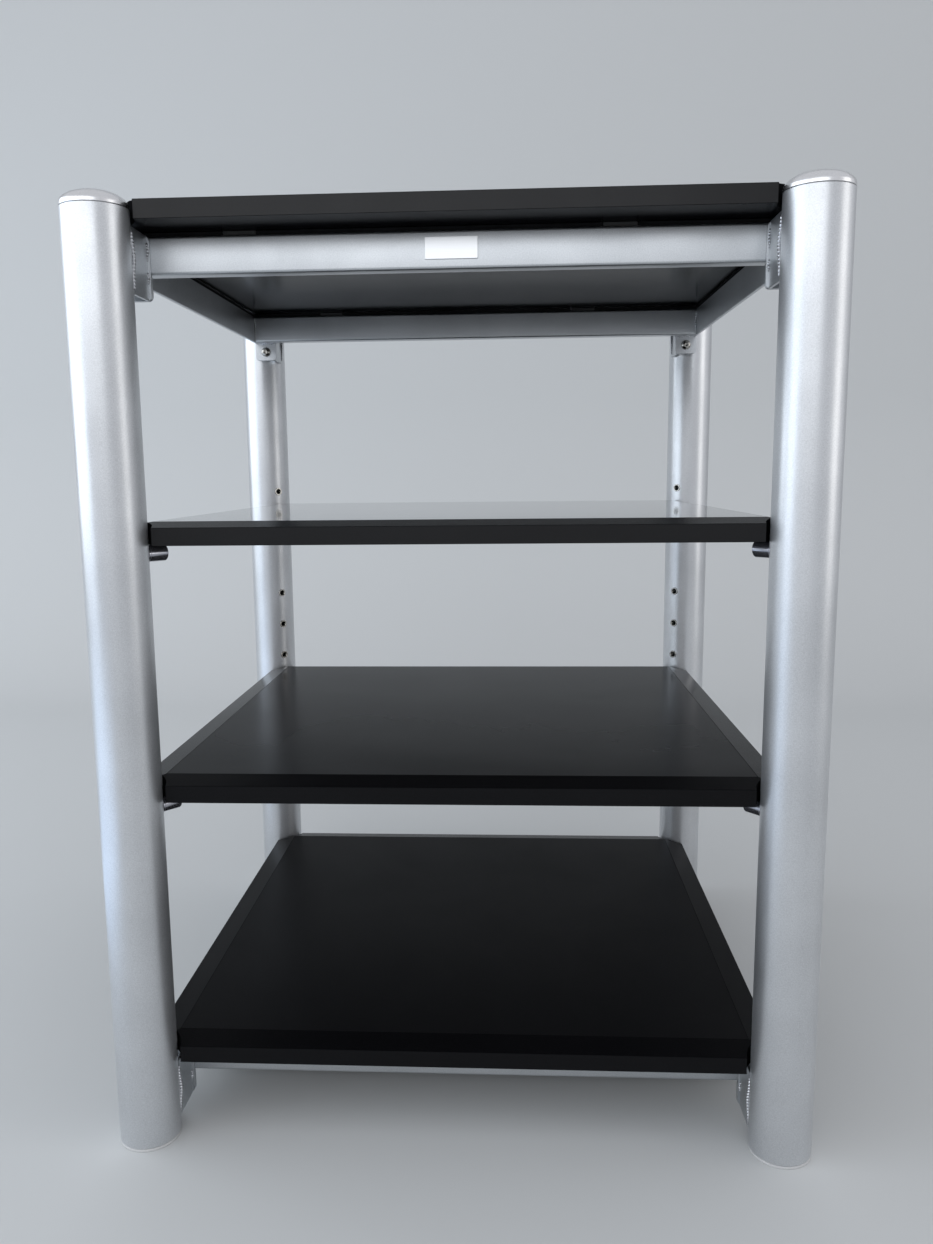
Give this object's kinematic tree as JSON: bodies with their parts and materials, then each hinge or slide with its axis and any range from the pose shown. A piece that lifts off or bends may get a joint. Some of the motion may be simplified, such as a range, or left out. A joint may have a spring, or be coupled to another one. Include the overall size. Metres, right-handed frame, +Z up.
{
  "type": "audio equipment rack",
  "caption": "Free-standing equipment rack: round silver tube posts joined by two welded frames, with bevelled black boards, two of them adjustable in height on pegs.",
  "frame": {"origin": "on the floor, in the middle of the footprint of the four feet", "axes": "+Z up, -Y towards the open front with the name plate, +X to the right as seen from the front"},
  "size_m": [0.7336, 0.7034, 0.9695],
  "materials": {
    "silver_paint": "satin silver powder coat",
    "cap_metal": "satin",
    "foot_plastic": "matt grey",
    "black_lacquer": "satin black lacquer on fibreboard",
    "peg_metal": "dark polished plating",
    "bolt_steel": "plated",
    "pad_rubber": "matt black",
    "plate_aluminium": "brushed"
  },
  "bodies": {
    "rack": {"post_front_left": "silver_paint", "cap_front_left": "cap_metal", "foot_front_left": "foot_plastic", "post_front_right": "silver_paint", "cap_front_right": "cap_metal", "foot_front_right": "foot_plastic", "post_rear_left": "silver_paint", "cap_rear_left": "cap_metal", "foot_rear_left": "foot_plastic", "post_rear_right": "silver_paint", "cap_rear_right": "cap_metal", "foot_rear_right": "foot_plastic", "top_rail_front": "silver_paint", "top_rail_rear": "silver_paint", "top_side_bar_left": "silver_paint", "top_side_bar_right": "silver_paint", "top_bracket_front_left": "silver_paint", "top_bolt_front_left": "bolt_steel", "top_bracket_front_right": "silver_paint", "top_bolt_front_right": "bolt_steel", "top_bracket_rear_left": "silver_paint", "top_bolt_rear_left": "bolt_steel", "top_bracket_rear_right": "silver_paint", "top_bolt_rear_right": "bolt_steel", "top_pad_front_left": "pad_rubber", "top_pad_front_right": "pad_rubber", "top_pad_rear_left": "pad_rubber", "top_pad_rear_right": "pad_rubber", "bottom_rail_front": "silver_paint", "bottom_rail_rear": "silver_paint", "bottom_side_bar_left": "silver_paint", "bottom_side_bar_right": "silver_paint", "bottom_bracket_front_left": "silver_paint", "bottom_bolt_front_left": "bolt_steel", "bottom_bracket_front_right": "silver_paint", "bottom_bolt_front_right": "bolt_steel", "bottom_bracket_rear_left": "silver_paint", "bottom_bolt_rear_left": "bolt_steel", "bottom_bracket_rear_right": "silver_paint", "bottom_bolt_rear_right": "bolt_steel", "bottom_pad_front_left": "pad_rubber", "bottom_pad_front_right": "pad_rubber", "bottom_pad_rear_left": "pad_rubber", "bottom_pad_rear_right": "pad_rubber", "name_plate": "plate_aluminium"},
    "top_board_panel": {"top_board": "black_lacquer"},
    "upper_shelf_panel": {"upper_shelf": "black_lacquer"},
    "lower_shelf_panel": {"lower_shelf": "black_lacquer"},
    "bottom_board_panel": {"bottom_board": "black_lacquer"},
    "upper_peg_front_left_body": {"upper_peg_front_left": "peg_metal"},
    "upper_peg_front_right_body": {"upper_peg_front_right": "peg_metal"},
    "upper_peg_rear_left_body": {"upper_peg_rear_left": "peg_metal"},
    "upper_peg_rear_right_body": {"upper_peg_rear_right": "peg_metal"},
    "lower_peg_front_left_body": {"lower_peg_front_left": "peg_metal"},
    "lower_peg_front_right_body": {"lower_peg_front_right": "peg_metal"},
    "lower_peg_rear_left_body": {"lower_peg_rear_left": "peg_metal"},
    "lower_peg_rear_right_body": {"lower_peg_rear_right": "peg_metal"}
  },
  "joints": [
    {"name": "top_board_lift", "type": "slide", "parent": "rack", "child": "top_board_panel", "axis": [0, 0, 1], "range_m": [0, 0.1]},
    {"name": "upper_shelf_lift", "type": "slide", "parent": "rack", "child": "upper_shelf_panel", "axis": [0, 0, 1], "range_m": [0, 0.21]},
    {"name": "lower_shelf_lift", "type": "slide", "parent": "rack", "child": "lower_shelf_panel", "axis": [0, 0, 1], "range_m": [0, 0.215]},
    {"name": "bottom_board_lift", "type": "slide", "parent": "rack", "child": "bottom_board_panel", "axis": [0, 0, 1], "range_m": [0, 0.24]},
    {"name": "upper_peg_front_left_pull", "type": "slide", "parent": "rack", "child": "upper_peg_front_left_body", "axis": [0.6428, 0.766, 0], "range_m": [0, 0.014]},
    {"name": "upper_peg_front_right_pull", "type": "slide", "parent": "rack", "child": "upper_peg_front_right_body", "axis": [-0.6428, 0.766, 0], "range_m": [0, 0.014]},
    {"name": "upper_peg_rear_left_pull", "type": "slide", "parent": "rack", "child": "upper_peg_rear_left_body", "axis": [0.6428, -0.766, 0], "range_m": [0, 0.014]},
    {"name": "upper_peg_rear_right_pull", "type": "slide", "parent": "rack", "child": "upper_peg_rear_right_body", "axis": [-0.6428, -0.766, 0], "range_m": [0, 0.014]},
    {"name": "lower_peg_front_left_pull", "type": "slide", "parent": "rack", "child": "lower_peg_front_left_body", "axis": [0.6428, 0.766, 0], "range_m": [0, 0.014]},
    {"name": "lower_peg_front_right_pull", "type": "slide", "parent": "rack", "child": "lower_peg_front_right_body", "axis": [-0.6428, 0.766, 0], "range_m": [0, 0.014]},
    {"name": "lower_peg_rear_left_pull", "type": "slide", "parent": "rack", "child": "lower_peg_rear_left_body", "axis": [0.6428, -0.766, 0], "range_m": [0, 0.014]},
    {"name": "lower_peg_rear_right_pull", "type": "slide", "parent": "rack", "child": "lower_peg_rear_right_body", "axis": [-0.6428, -0.766, 0], "range_m": [0, 0.014]}
  ]
}
